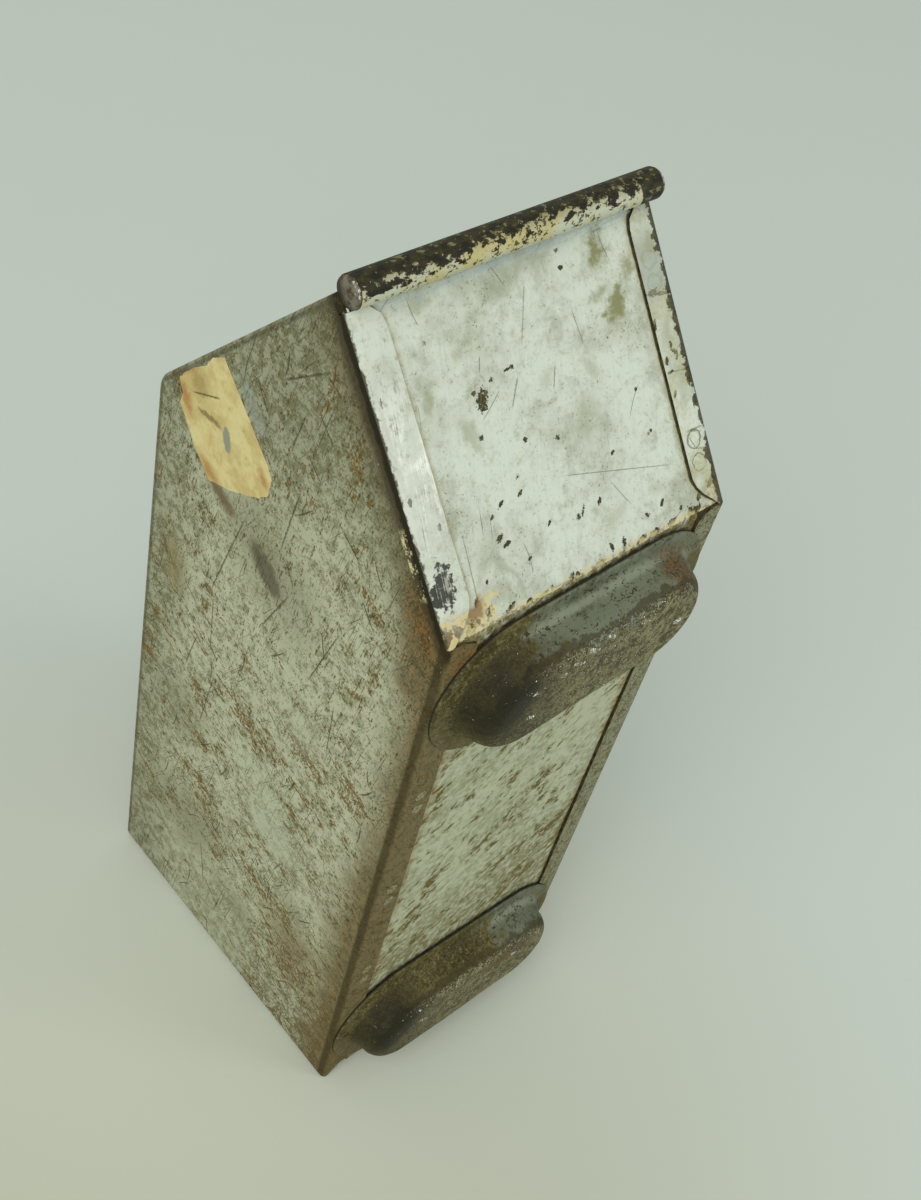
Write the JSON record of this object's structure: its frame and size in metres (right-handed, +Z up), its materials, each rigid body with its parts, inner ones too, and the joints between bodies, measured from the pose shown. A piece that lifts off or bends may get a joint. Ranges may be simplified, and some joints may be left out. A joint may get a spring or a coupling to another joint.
{
  "type": "hopper-front stacking bin",
  "caption": "Open sheet-steel stacking bin with a sloped hopper front, a wired nose and pressed feet, standing on its back, with worn grey paint and a strip of paper tape.",
  "frame": {"origin": "on the floor under the middle of the bin, which stands on its back wall", "axes": "+Z up, from the back wall to the nose; -Y the underside with the feet; +Y the open top; -X the side with the tape"},
  "size_m": [0.1202, 0.1558, 0.3578],
  "materials": {
    "side_paint": "worn grey-green paint with scratches and rust",
    "front_paint": "worn pale grey paint, brushed off-white on the front",
    "foot_paint": "grey-blue paint rubbed through to brown rust",
    "bare_steel": "dark oxidised bare steel",
    "weld_steel": "painted over, slightly dished",
    "tape_paper": "yellowed, stained and torn"
  },
  "bodies": {
    "root": {"left_side_panel": "side_paint", "right_side_panel": "side_paint", "floor_front_sheet": "front_paint", "back_panel": "side_paint", "nose_wire": "bare_steel", "front_foot": "foot_paint", "rear_foot": "foot_paint", "paper_tape": "tape_paper", "front_flange_welds": "weld_steel", "floor_flange_welds": "weld_steel", "back_flange_welds": "weld_steel", "back_floor_welds": "weld_steel", "front_foot_welds": "weld_steel", "rear_foot_welds": "weld_steel"}
  },
  "joints": []
}
